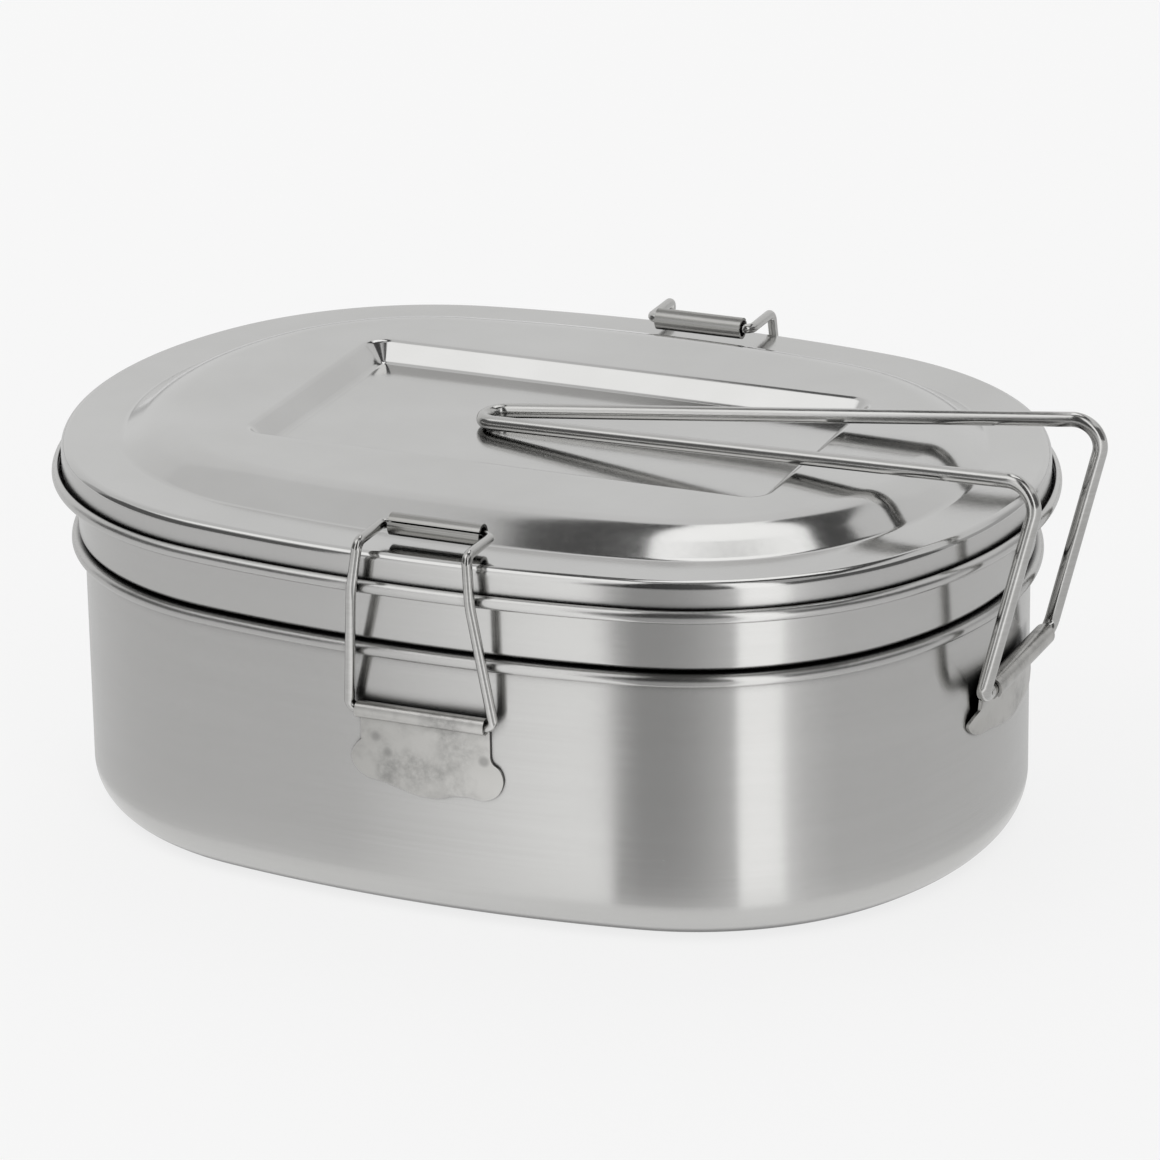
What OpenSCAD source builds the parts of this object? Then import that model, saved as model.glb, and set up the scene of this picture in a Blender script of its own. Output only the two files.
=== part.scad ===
// Two-layer oval lunch box in pressed stainless sheet.
// A deep container, a shallow tray that nests in its rim, and a cap lid with a sunken panel.
// Two wire clips hold the stack shut and a folding wire handle swings out from the right end.
// The origin is the middle of the base, +Z is up and the handle is at +X.

/* [Oval outline] */
// Outer length of the container wall
box_len = 180; // [160:1:200]
// Outer width of the container wall
box_w = 133; // [126:1:140]
// Radius of the two end arcs
end_r = 73.5; // [68:0.5:80]
// Radius of the four corner arcs
corner_r = 55.2; // [50:0.2:58]
// Radius of the two long side arcs
side_r = 255; // [220:5:300]

/* [Sheet and rims] */
// Thickness of the sheet
sheet = 0.6; // [0.4:0.05:0.8]
// Outer diameter of every rolled rim
bead_d = 2.5; // [2.2:0.05:3]
// Gap between stacked pieces where one rests on the next
seat_gap = 0.2; // [0.1:0.05:0.4]
// Width of the slot left where a rolled rim ends
curl_slot = 0.5; // [0.3:0.05:0.8]

/* [Container] */
// Height of the container to the top of its rim
container_h = 52.8; // [45:0.1:70]
// Outer radius between the base and the wall
base_r = 7.8; // [5:0.1:10]
// How far the rim's roll stands out from the wall
container_rim_out = 2.45; // [2.2:0.05:3]

/* [Tray] */
// Height of the stack to the underside of the lid's rim band
stack_h = 70.4; // [66:0.1:80]
// How far the tray's wall stands out past the container's wall
tray_out = 1; // [0.6:0.1:1.5]
// Depth of the tray's foot inside the container
nest_depth = 4.5; // [3:0.1:8]
// Clearance between the tray's foot and the container's wall
nest_gap = 0.4; // [0.2:0.05:0.8]
// Outer radius under the tray's foot
foot_r = 3.5; // [2:0.1:4]
// Outer radius of the tray's step
step_r = 1.2; // [0.8:0.1:2]

/* [Lid] */
// Clearance between the lid's skirt and the tray's rim
lid_gap = 0.25; // [0.15:0.05:0.5]
// Depth of the lid from its rim band to the bottom of its hem
lid_depth = 7.45; // [6.5:0.05:9]
// Outer radius of the lid's shoulder
shoulder_r = 1.5; // [1:0.1:2.5]
// Width of the flat band round the lid
band_w = 11.5; // [9.5:0.5:13]
// Steepness of the sloping border inside the band, in degrees
slope_a = 28; // [20:1:35]
// Radius where the border rolls over into the raised field
roll_r = 4; // [2:0.5:6]
// Height of the lid's raised field over its band
field_h = 3.85; // [2.5:0.05:5]

/* [Sunken panel] */
// Length of the panel at its top edge
panel_len = 104; // [90:1:110]
// Width of the panel at its top edge
panel_w = 58; // [50:1:64]
// Depth of the panel's floor under the field
panel_depth = 3.7; // [2:0.1:4.5]
// Width of the panel's sloping walls
panel_wall = 3.5; // [2:0.1:6]
// Corner radius of the panel
panel_r = 4.5; // [4:0.5:8]
// Offset of the panel from the middle, towards the handle
panel_x = 1.4; // [-3:0.1:3]

/* [Clips] */
// Diameter of the clip wire
clip_wire_d = 1.9; // [1.6:0.05:2.2]
// Offset of both clips from the middle, towards the handle
clip_x = 3.2; // [0:0.1:6]
// Height of the clip pivots
clip_pivot_z = 40; // [32:0.5:42]
// Length of the barrel that holds a clip
clip_barrel_len = 25.2; // [22:0.2:32]
// Gap between a clip's legs and the ends of its barrel
clip_foot_gap = 0.65; // [0.4:0.05:2]
// Distance between the clip's legs at the top
clip_top_w = 21.1; // [19:0.1:26]
// Sideways lean of the clips at the top, towards the handle
clip_lean_x = 1.2; // [0:0.1:2]
// How far a clip's shoulders lie inside its legs at the hem
clip_tuck = 0.5; // [0:0.1:1]
// Radius of the bow in a clip's legs where they pass the hem
clip_bow_r = 12; // [6:1:16]
// Clearance between the clip's legs and the lid's hem
clip_leg_gap = 0.4; // [0.3:0.05:1]
// Bend radius of the clip wire
clip_bend_r = 1.6; // [1.2:0.1:2]
// Length of each end of the clip wire inside its barrel
clip_pin_len = 8; // [5:0.5:10]
// Distance of the roller's axis from the edge of the lid, inwards
roller_inset = 8.2; // [6:0.1:9]
// Outer diameter of the roller
roller_d = 4.2; // [3.8:0.1:5]
// Wall of the roller
roller_wall = 0.5; // [0.4:0.05:0.8]
// Length of the roller
roller_len = 17.8; // [14:0.2:20]
// Gap between the roller and the lid when shut
roller_gap = 0.8; // [0.5:0.05:1]

/* [Handle] */
// Diameter of the handle wire
handle_wire_d = 2.8; // [2.4:0.1:3.2]
// Height of the handle's pivot
handle_pivot_z = 38.4; // [34:0.2:42]
// Length of the barrel that holds the handle
handle_barrel_len = 29.2; // [24:0.2:32]
// Mean gap between the handle's legs and the ends of its barrel
handle_foot_gap = 2.6; // [2:0.1:4]
// Sideways offset of the handle's feet from its top, towards the front
handle_skew = 1.2; // [0:0.1:1.2]
// Distance between the handle's legs at the top
handle_top_w = 37; // [32:0.2:40]
// Height of the handle's shoulders over the lid's raised field
handle_over = 5.5; // [4.5:0.1:10]
// Lean of the handle's legs outwards from their pivot to the shoulders
handle_lean = 10.5; // [7:0.1:12]
// Reach of the handle over the lid, from shoulder to tip
handle_reach = 116.5; // [100:0.5:125]
// Bend radius of the handle's shoulders
handle_bend_r = 5; // [3:0.1:6]
// Bend radius at the feet of the handle
handle_foot_bend_r = 2.6; // [2:0.1:3]
// Bend radius of the handle's tip
handle_tip_r = 3.8; // [3:0.1:5]
// Length of each end of the handle wire inside its barrel
handle_pin_len = 10; // [6:0.5:12]

/* [Brackets] */
// Thickness of the bracket sheet
bracket_t = 0.55; // [0.4:0.05:0.8]
// Radial clearance of a wire in its barrel
pin_gap = 0.08; // [0.04:0.01:0.1]
// Gap between a bracket's plate and the wall it is welded to
weld_gap = 0.05; // [0.02:0.01:0.1]
// Drop of the clip brackets' lobes below their pivot
lobe_drop = 10.8; // [8:0.2:14]
// Drop of the handle bracket's lobes below its pivot
handle_lobe_drop = 6.8; // [5:0.2:12]
// Radius of a bracket's side lobes
lobe_r = 4.2; // [3.5:0.1:6]
// Radius of a bracket's middle lobe
middle_lobe_r = 7; // [5:0.1:9]

/* [Hidden] */

profile_fn = 48;
sweep_fn = 240;
panel_fn = 32;
slop = 1;
hair = 0.02;
// Straight steps in the roll-over at the edge of the lid's raised field
roll_steps = 3;
// Angle by which the corner arcs run into their neighbours
corner_lap = 0.1;
// A bend is very slightly fuller than the straight wire, which runs into it by the lap
bend_swell = 0.02;
wire_lap = 0.1;

half_len = box_len / 2;
half_w = box_w / 2;
bead_r = bead_d / 2;

// Centres of the arcs, and the angles at which the arcs meet
end_c = [half_len - end_r, 0];
side_c = [0, half_w - side_r];
end_gap = end_r - corner_r;
side_gap = side_r - corner_r;
span = norm(side_c - end_c);
along = (side_c - end_c) / span;
reach = (end_gap ^ 2 - side_gap ^ 2 + span ^ 2) / (2 * span);
across = sqrt(end_gap ^ 2 - reach ^ 2);
corner_c = end_c + along * reach + [-along.y, along.x] * across;
end_a = atan2(corner_c.y, corner_c.x - end_c.x);
side_a = atan2(corner_c.y - side_c.y, corner_c.x);

// Width that a swept floor covers inwards from the wall, and the plate that fills its middle
floor_w = 40;
fill_len = box_len - 2 * floor_w + 16;
fill_w = box_w - 2 * floor_w + 16;

// Tray
tray_foot_out = -sheet - nest_gap;
tray_seat_z = container_h + seat_gap;
tray_z = tray_seat_z - nest_depth;
tray_top = stack_h - seat_gap;
tray_rim_out = tray_out - sheet + bead_d;

// Lid
lid_in = tray_rim_out + lid_gap;
lid_out = lid_in + sheet;
lid_top = stack_h + sheet;
hem_z = lid_top - lid_depth + bead_r;
hem_out = lid_in + bead_d;
band_in = lid_out - band_w;
slope_run = (field_h - roll_r * (1 - cos(slope_a))) / tan(slope_a);
field_x = band_in - slope_run - roll_r * sin(slope_a);
field_top = lid_top + field_h;
panel_floor = field_top - panel_depth;

// Clips
clip_barrel_r = clip_wire_d / 2 + pin_gap + bracket_t;
clip_pivot_y = half_w + weld_gap + clip_barrel_r;
roller_y = half_w + lid_out - roller_inset;
roller_z = lid_top + roller_gap + roller_d / 2;
hem_leg_y = half_w + hem_out + clip_leg_gap + clip_wire_d / 2;
clip_foot_w = clip_barrel_len + 2 * clip_foot_gap + clip_wire_d;
clip_rise = roller_z - clip_pivot_z;
hem_rise = hem_z - clip_pivot_z;
hem_share = hem_rise / clip_rise;
roller_x = clip_x + clip_lean_x;

// Handle
handle_barrel_r = handle_wire_d / 2 + pin_gap + bracket_t;
handle_pivot_x = half_len + weld_gap + handle_barrel_r;
handle_foot_w = handle_barrel_len + 2 * handle_foot_gap + handle_wire_d;
shoulder_x = handle_pivot_x + handle_lean;
shoulder_z = field_top + handle_over;
tip_z = panel_floor + seat_gap + handle_wire_d / 2;
tip_c = handle_reach - handle_tip_r;
tip_a = acos(handle_tip_r / norm([handle_top_w / 2, tip_c])) - atan2(tip_c, handle_top_w / 2);
apex_run = handle_top_w / 2 / tan(tip_a);
apex_drop = (shoulder_z - tip_z) * apex_run / handle_reach;

function unit(v) = v / norm(v);
function turn(u, w) = acos(u * w);

// ---- Oval sweep ----

module arc(angle, r) {
    rotate_extrude(angle = angle, $fn = sweep_fn)
        translate([r, 0])
            children();
}

// Carries two profiles round the oval: x is the distance outwards from the container's wall, y is
// height. The second one, for the corners, is a hair slimmer and runs a little way into the first.
module around_oval() {
    for (side = [0, 180])
        rotate(side) {
            translate(end_c) rotate(-end_a) arc(2 * end_a, end_r) children(0);
            translate(side_c) rotate(side_a) arc(180 - 2 * side_a, side_r) children(0);
        }
    for (flip_x = [0, 1], flip_y = [0, 1])
        mirror([flip_x, 0, 0]) mirror([0, flip_y, 0])
            translate(corner_c) rotate(end_a - corner_lap)
                arc(side_a - end_a + 2 * corner_lap, corner_r) children(1);
}

// Space inside a pressed pan's outer face up to the height top: face at x = out, base at z, radius r
module pan_section(out, z, top, r) {
    translate([-floor_w, z + r]) square([out + floor_w, top - z - r]);
    translate([-floor_w, z]) square([out + floor_w - r, top - z]);
    translate([out - r, z + r]) circle(r, $fn = profile_fn);
}

// Section of a rolled rim, closed but for the slot at the angle slot_a, slimmed by h on each face
module roll_section(slot_a, h) {
    difference() {
        circle(bead_r - h, $fn = profile_fn);
        circle(bead_r - sheet + h, $fn = profile_fn);
        rotate(slot_a) translate([0, -curl_slot / 2 - h]) square([bead_d, curl_slot + 2 * h]);
    }
}

// Middle of a floor that starts at z and is t thick, drawn in by a hair from its two faces
module middle_plate(z, t) {
    translate([-fill_len / 2, -fill_w / 2, z + hair]) cube([fill_len, fill_w, t - 2 * hair]);
}

// ---- Vessels ----

module container_section(h) {
    bridge = container_rim_out - bead_r;
    shelf_z = container_h - sheet;
    difference() {
        pan_section(-h, h, shelf_z, base_r - h);
        pan_section(h - sheet, sheet - h, container_h, base_r - sheet + h);
    }
    intersection() {
        translate([0, shelf_z]) circle(sheet - h, $fn = profile_fn);
        translate([-sheet, shelf_z - hair]) square([sheet, sheet + hair]);
    }
    translate([-hair, shelf_z + h]) square([bridge + hair, sheet - 2 * h]);
    translate([bridge, container_h - bead_r]) roll_section(248, h);
}

module container() {
    color("silver") {
        around_oval() {
            container_section(0);
            container_section(hair);
        }
        middle_plate(0, sheet);
    }
}

module tray_section(h) {
    difference() {
        union() {
            pan_section(tray_foot_out - h, tray_z + h, tray_seat_z + step_r, foot_r - h);
            pan_section(tray_out - h, tray_seat_z + h, tray_top - bead_r, step_r - h);
        }
        pan_section(tray_foot_out - sheet + h, tray_z + sheet - h, tray_top, foot_r - sheet + h);
        pan_section(tray_out - sheet + h, tray_seat_z + sheet - h, tray_top, step_r - sheet + h);
    }
    translate([tray_rim_out - bead_r, tray_top - bead_r]) roll_section(248, h);
}

module tray() {
    color("silver") {
        around_oval() {
            tray_section(0);
            tray_section(hair);
        }
        middle_plate(tray_z, sheet);
    }
}

// Section of everything under the lid's outer face, drawn in by the sheet's thickness t
module lid_body_section(t) {
    out = lid_out - t;
    top = lid_top - t;
    r = shoulder_r - t;
    field = field_top - t;
    translate([-floor_w, hem_z]) square([out + floor_w, top - hem_z - r]);
    translate([-floor_w, hem_z]) square([out + floor_w - r, top - hem_z]);
    translate([out - r, top - r]) circle(r, $fn = profile_fn);
    translate([-floor_w, top - slop]) square([field_x + floor_w, field - top + slop]);
    foot_x = band_in - t * tan(slope_a / 2);
    polygon([
        [field_x - slop, top - slop],
        [field_x - slop, field],
        for (i = [0:roll_steps]) roll_point(i * slope_a / roll_steps, roll_r - t),
        [foot_x, top],
        [foot_x, top - slop]
    ]);
}

// Point on the roll-over between the raised field and its border
function roll_point(a, r) = [field_x + r * sin(a), field_top - roll_r + r * cos(a)];

module lid_section(h) {
    difference() {
        lid_body_section(h);
        lid_body_section(sheet - h);
    }
    translate([hem_out - bead_r, hem_z]) roll_section(112, h);
}

// Flared block with the panel's plan, swollen downwards and outwards by t, from its floor to the
// height up over the lid's field
module panel_block(t, up) {
    steep = atan2(panel_depth, panel_wall);
    grow = t * tan(steep / 2);
    rise = panel_depth + t + up;
    hull() {
        translate([panel_x, 0, panel_floor - t])
            panel_plan(grow - panel_wall);
        translate([panel_x, 0, panel_floor - t + rise])
            panel_plan(grow - panel_wall + rise / tan(steep));
    }
}

module panel_plan(grow) {
    corner = panel_r + grow;
    linear_extrude(0.01)
        for (sx = [-1, 1], sy = [-1, 1])
            translate([
                sx * (panel_len / 2 + grow - corner),
                sy * (panel_w / 2 + grow - corner)
            ])
                circle(corner, $fn = panel_fn);
}

module lid() {
    color("gainsboro") difference() {
        union() {
            around_oval() {
                lid_section(0);
                lid_section(hair);
            }
            middle_plate(field_top - sheet, sheet);
            intersection() {
                panel_block(sheet, sheet);
                middle_plate(panel_floor - 2 * sheet, panel_depth + 2 * sheet - sheet / 4);
            }
        }
        panel_block(0, slop);
    }
}

// ---- Wire work ----

// Frames are three rows: the local X, Y and Z directions, with Z along the wire
function start_frame(u) = [
    [u.z * u.x, u.z * u.y, -(u.x ^ 2 + u.y ^ 2)] / norm([u.x, u.y]),
    [-u.y, u.x, 0] / norm([u.x, u.y]),
    u
];
function rolled(f, a) = [f[0] * cos(a) + f[1] * sin(a), f[1] * cos(a) - f[0] * sin(a), f[2]];
function tilted(f, a) = [f[0] * cos(a) - f[2] * sin(a), f[1], f[2] * cos(a) + f[0] * sin(a)];

// One straight length from the local origin along Z, then the bend after it, then the rest
module wire_run(dirs, lens, radii, d, frame, i = 0) {
    more = i < len(lens) - 1;
    back = i > 0 ? wire_lap : 0;
    translate([0, 0, -back])
        cylinder(h = lens[i] + back + (more ? wire_lap : 0), d = d, $fn = profile_fn);
    if (more) {
        roll = atan2(dirs[i + 1] * frame[1], dirs[i + 1] * frame[0]);
        angle = turn(dirs[i], dirs[i + 1]);
        r = radii[i];
        translate([0, 0, lens[i]]) rotate([0, 0, roll]) translate([r, 0, 0]) {
            rotate([90, 0, 0]) rotate([0, 0, 180 - angle])
                rotate_extrude(angle = angle, $fn = sweep_fn)
                    translate([r, 0]) circle(d = d + bend_swell, $fn = profile_fn);
            rotate([0, angle, 0]) translate([-r, 0, 0])
                wire_run(dirs, lens, radii, d, tilted(rolled(frame, roll), angle), i + 1);
        }
    }
}

// Round wire through the points, with a bend radius for each inner point
module wire(points, radii, d) {
    last = len(points) - 1;
    dirs = [for (i = [0:last - 1]) unit(points[i + 1] - points[i])];
    cuts = [
        for (i = [0:last])
            i == 0 || i == last ? 0 : radii[i - 1] * tan(turn(dirs[i - 1], dirs[i]) / 2)
    ];
    lens = [for (i = [0:last - 1]) norm(points[i + 1] - points[i]) - cuts[i] - cuts[i + 1]];
    translate(points[0]) rotate([0, acos(dirs[0].z), atan2(dirs[0].y, dirs[0].x)])
        wire_run(dirs, lens, radii, d, start_frame(dirs[0]));
}

// ---- Clips, drawn at the front ----

module clip_bracket() {
    plate_w = clip_barrel_len;
    difference() {
        union() {
            translate([clip_x - clip_barrel_len / 2, -clip_pivot_y, clip_pivot_z])
                rotate([0, 90, 0]) cylinder(h = clip_barrel_len, r = clip_barrel_r, $fn = profile_fn);
            intersection() {
                translate([clip_x, 0, clip_pivot_z]) lobed_prism(plate_w, lobe_drop, box_w);
                wall_strip();
            }
        }
        translate([clip_x - clip_barrel_len, -clip_pivot_y, clip_pivot_z])
            rotate([0, 90, 0])
                cylinder(h = 2 * clip_barrel_len, r = clip_wire_d / 2 + pin_gap, $fn = profile_fn);
    }
}

// Strip that follows the outside of the front wall
module wall_strip() {
    rotate(180) translate(side_c) rotate(side_a) arc(180 - 2 * side_a, side_r)
        translate([weld_gap, 0]) square([bracket_t, container_h]);
}

// Bracket outline in X and Z round the pivot, run towards -Y by depth
module lobed_prism(w, drop, depth) {
    rotate([90, 0, 0]) linear_extrude(depth) {
        translate([-w / 2, -drop]) square([w, drop]);
        for (s = [-1, 1])
            translate([s * (w - lobe_r) / 2, -drop]) circle(lobe_r, $fn = profile_fn);
        translate([0, -drop + lobe_r / 2]) circle(middle_lobe_r, $fn = profile_fn);
    }
}

// Leg on the side s (-1 or 1), from the pin's end to the shoulder over the lid
function clip_leg(s) = [
    [s * (clip_barrel_len / 2 - clip_pin_len), 0, 0],
    [s * clip_foot_w / 2, 0, 0],
    [
        s * (clip_foot_w + (clip_top_w - clip_foot_w) * hem_share) / 2 + clip_lean_x * hem_share,
        clip_pivot_y - hem_leg_y,
        hem_rise
    ],
    [s * clip_top_w / 2 + clip_lean_x, clip_pivot_y - hem_leg_y + clip_tuck, clip_rise],
    [s * clip_top_w / 2 + clip_lean_x, clip_pivot_y - roller_y, clip_rise]
];

module clip_wire() {
    left_leg = clip_leg(-1);
    right_leg = clip_leg(1);
    path = concat(left_leg, [for (i = [4:-1:0]) right_leg[i]]);
    up = [clip_bend_r, clip_bow_r, clip_bend_r, clip_bend_r];
    radii = concat(up, [for (i = [3:-1:0]) up[i]]);
    translate([clip_x, -clip_pivot_y, clip_pivot_z]) wire(path, radii, clip_wire_d);
}

module clip_roller() {
    translate([roller_x - roller_len / 2, -roller_y, roller_z]) rotate([0, 90, 0])
        difference() {
            cylinder(h = roller_len, d = roller_d, $fn = profile_fn);
            translate([0, 0, -slop])
                cylinder(h = roller_len + 2 * slop, d = roller_d - 2 * roller_wall, $fn = profile_fn);
        }
}

module to_back() {
    mirror([0, 1, 0]) children();
}

module front_clip_bracket() {
    color("darkgray") clip_bracket();
}

module back_clip_bracket() {
    color("darkgray") to_back() clip_bracket();
}

module front_clip_wire() {
    color("lightgray") clip_wire();
}

module back_clip_wire() {
    color("lightgray") to_back() clip_wire();
}

module front_clip_roller() {
    color("gray") clip_roller();
}

module back_clip_roller() {
    color("gray") to_back() clip_roller();
}

// ---- Handle ----

// Strip that follows the outside of the right end, up to the middle of the bracket's neck
module end_strip() {
    translate(end_c) rotate(-end_a) arc(2 * end_a, end_r)
        translate([weld_gap, 0])
            square([bracket_t, handle_pivot_z - handle_lobe_drop + lobe_r / 2]);
}

module handle_bracket() {
    color("darkgray") difference() {
        union() {
            translate([handle_pivot_x, handle_barrel_len / 2, handle_pivot_z])
                rotate([90, 0, 0])
                    cylinder(h = handle_barrel_len, r = handle_barrel_r, $fn = profile_fn);
            translate([
                half_len + weld_gap,
                -handle_barrel_len / 2,
                handle_pivot_z - handle_lobe_drop
            ])
                cube([bracket_t, handle_barrel_len, handle_lobe_drop]);
            intersection() {
                translate([half_len + lobe_r, 0, handle_pivot_z])
                    rotate(-90) lobed_prism(handle_barrel_len, handle_lobe_drop, end_r);
                end_strip();
            }
        }
        translate([handle_pivot_x, handle_barrel_len, handle_pivot_z])
            rotate([90, 0, 0])
                cylinder(
                    h = 2 * handle_barrel_len,
                    r = handle_wire_d / 2 + pin_gap,
                    $fn = profile_fn
                );
    }
}

// Leg on the side s (-1 or 1), from the pin's end to the shoulder
function handle_leg(s) = [
    [handle_pivot_x, s * (handle_barrel_len / 2 - handle_pin_len), handle_pivot_z],
    [handle_pivot_x, s * handle_foot_w / 2 - handle_skew, handle_pivot_z],
    [shoulder_x, s * handle_top_w / 2, shoulder_z]
];

module handle_wire() {
    near_leg = handle_leg(-1);
    far_leg = handle_leg(1);
    apex = [shoulder_x - apex_run, 0, shoulder_z - apex_drop];
    path = concat(near_leg, [apex], [for (i = [2:-1:0]) far_leg[i]]);
    color("lightgray")
        wire(
            path,
            [handle_foot_bend_r, handle_bend_r, handle_tip_r, handle_bend_r, handle_foot_bend_r],
            handle_wire_d
        );
}

container();
tray();
lid();
front_clip_bracket();
back_clip_bracket();
handle_bracket();
front_clip_wire();
back_clip_wire();
front_clip_roller();
back_clip_roller();
handle_wire();
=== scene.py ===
import math

import bmesh
import bpy
from mathutils import Matrix, Vector
from mathutils.geometry import delaunay_2d_cdt


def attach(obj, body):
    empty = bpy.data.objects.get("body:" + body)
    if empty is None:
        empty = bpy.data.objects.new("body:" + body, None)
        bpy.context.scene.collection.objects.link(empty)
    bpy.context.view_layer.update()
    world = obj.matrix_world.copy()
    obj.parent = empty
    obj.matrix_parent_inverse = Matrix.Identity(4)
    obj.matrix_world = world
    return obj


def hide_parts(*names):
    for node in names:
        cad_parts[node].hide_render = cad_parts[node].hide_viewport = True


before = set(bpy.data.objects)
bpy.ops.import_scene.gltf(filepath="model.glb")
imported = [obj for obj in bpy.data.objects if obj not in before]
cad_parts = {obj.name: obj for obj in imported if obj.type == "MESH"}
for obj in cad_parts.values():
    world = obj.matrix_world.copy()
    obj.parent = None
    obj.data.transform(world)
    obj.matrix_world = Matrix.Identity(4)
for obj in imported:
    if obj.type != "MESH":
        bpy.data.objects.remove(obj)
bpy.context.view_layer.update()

MM = 0.001
UV_SCALE = 10 * MM

# ---------------------------------------------------------------- sizes, in millimetres
# Oval
HALF_L, HALF_W = 90.0, 66.5
END_R, CORNER_R, SIDE_R = 73.5, 55.2, 255.0

# Sheet and rolled rims
SHEET = 0.6
BEAD_R = 1.25
RIM_BEND_R = 0.95
SEAT_GAP = 0.2

# Container
CONTAINER_H = 52.8
BASE_R = 7.8
CONTAINER_RIM = 2.45

# Tray, nested in the container, and the height of the two
STACK_H = 70.4
TRAY_OUT = 1.0
NEST_DEPTH = 4.5
NEST_GAP = 0.4
STEP_BENDS = [0.6, 1.2, 2.9]
TRAY_SEAT = CONTAINER_H + SEAT_GAP
TRAY_Z = TRAY_SEAT - NEST_DEPTH
TRAY_TOP = STACK_H - SEAT_GAP
TRAY_RIM = TRAY_OUT - SHEET + 2 * BEAD_R

# Lid: skirt with a rolled hem, rim band, sloped border and raised field
LID_GAP = 0.25
LID_DEPTH = 7.45
BAND_W = 11.5
BAND_SAG = 0.25
SKIRT_BELOW = 1.2
SLOPE = math.radians(28)
FIELD_H = 3.85
FOOT_R, ROLL_R = 3.0, 14.0
LID_IN = TRAY_RIM + LID_GAP
LID_OUT = LID_IN + SHEET
LID_TOP = STACK_H + SHEET
HEM_Z = LID_TOP - LID_DEPTH + BEAD_R
HEM_OUT = LID_IN + 2 * BEAD_R
BAND_IN = LID_OUT - BAND_W
FIELD_TOP = LID_TOP + FIELD_H

# Sunken panel
PANEL_L, PANEL_W, PANEL_X = 104.0, 58.0, 1.4
PANEL_D, PANEL_WALL, PANEL_R = 3.7, 3.5, 4.5
PANEL_BEND_R = 1.6

# Where the sections end, as offsets from the wall, and the panel's rings, from its edge
FLOOR_EDGE, FIELD_EDGE = -26, -20.5
PANEL_EDGE, PANEL_END = 2.4, 7

# Brackets
BRACKET_T = 0.55
PIN_GAP = 0.08
WELD_GAP = 0.05
BARREL_SLOT = 24
# Depth into the barrel beyond which its bore is painted near-black as shade
BARREL_SHADE_DEPTH = 0.3
NECK_TOP = 0.6
LOBE_SPAN = 25.2

# Clips
CLIP_X = 3.2
CLIP_LEAN_X = 1.2
CLIP_D = 1.9
CLIP_Z = 40.0
CLIP_BARREL = 25.2
CLIP_PIN = 8
CLIP_FOOT_GAP = 0.65
CLIP_FOOT = CLIP_BARREL + 2 * CLIP_FOOT_GAP + CLIP_D
CLIP_TOP = 21.1
CLIP_TUCK = 0.5
CLIP_LEG_GAP = 0.4
CLIP_BENDS = [1.6, 12, 1.6, 1.6, 1.6, 1.6, 12, 1.6]
CLIP_BARREL_R = CLIP_D / 2 + PIN_GAP + BRACKET_T
CLIP_Y = HALF_W + WELD_GAP + CLIP_BARREL_R
ROLLER_R, ROLLER_WALL, ROLLER_SLOT = 2.1, 0.5, 9
ROLLER_INSET, ROLLER_GAP = 8.2, 0.8
ROLLER_Y = HALF_W + LID_OUT - ROLLER_INSET
ROLLER_Z = LID_TOP + ROLLER_GAP + ROLLER_R
ROLLER_X = CLIP_X + CLIP_LEAN_X
ROLLER_LEN = 17.8

# Handle
HANDLE_D = 2.8
HANDLE_Z = 38.4
HANDLE_BARREL_R = HANDLE_D / 2 + PIN_GAP + BRACKET_T
HANDLE_X = HALF_L + WELD_GAP + HANDLE_BARREL_R
HANDLE_BARREL = 29.2
HANDLE_PIN = 10
HANDLE_FOOT_GAP = 2.6
HANDLE_FOOT = HANDLE_BARREL + 2 * HANDLE_FOOT_GAP + HANDLE_D
HANDLE_SKEW = 1.2
HANDLE_TOP = 37.0
HANDLE_OVER = 5.5
HANDLE_LEAN = 10.5
HANDLE_REACH = 116.5
HANDLE_TIP_R = 3.8
HANDLE_TIP_GAP = 0.2
HANDLE_BENDS = [2.6, 5.0, HANDLE_TIP_R, 5.0, 2.6]
HANDLE_LOBE_DROP = 0.72
HANDLE_PLATE_FLAT, HANDLE_PLATE_TURN = 2.5, 5.0

# ---------------------------------------------------------------- oval outline
END_C = (HALF_L - END_R, 0.0)
SIDE_C = (0.0, HALF_W - SIDE_R)


def corner_centre():
    de, ds = END_R - CORNER_R, SIDE_R - CORNER_R
    vx, vy = SIDE_C[0] - END_C[0], SIDE_C[1] - END_C[1]
    d = math.hypot(vx, vy)
    ux, uy = vx / d, vy / d
    x = (de * de - ds * ds + d * d) / (2 * d)
    h = math.sqrt(de * de - x * x)
    return END_C[0] + ux * x - uy * h, END_C[1] + uy * x + ux * h


CORNER_C = corner_centre()
END_A = math.atan2(CORNER_C[1] - END_C[1], CORNER_C[0] - END_C[0])
SIDE_A = math.atan2(CORNER_C[1] - SIDE_C[1], CORNER_C[0] - SIDE_C[0])


def quarter(n):
    """Centre and angle of n + 1 points over the first quarter of the oval, evenly by length."""
    lens = [END_R * END_A, CORNER_R * (SIDE_A - END_A), SIDE_R * (math.pi / 2 - SIDE_A)]
    out = []
    for i in range(n + 1):
        s = sum(lens) * i / n
        if s <= lens[0]:
            out.append((END_C, s / END_R, END_R))
        elif s <= lens[0] + lens[1]:
            out.append((CORNER_C, END_A + (s - lens[0]) / CORNER_R, CORNER_R))
        else:
            out.append((SIDE_C, SIDE_A + (s - lens[0] - lens[1]) / SIDE_R, SIDE_R))
    return out


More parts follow.
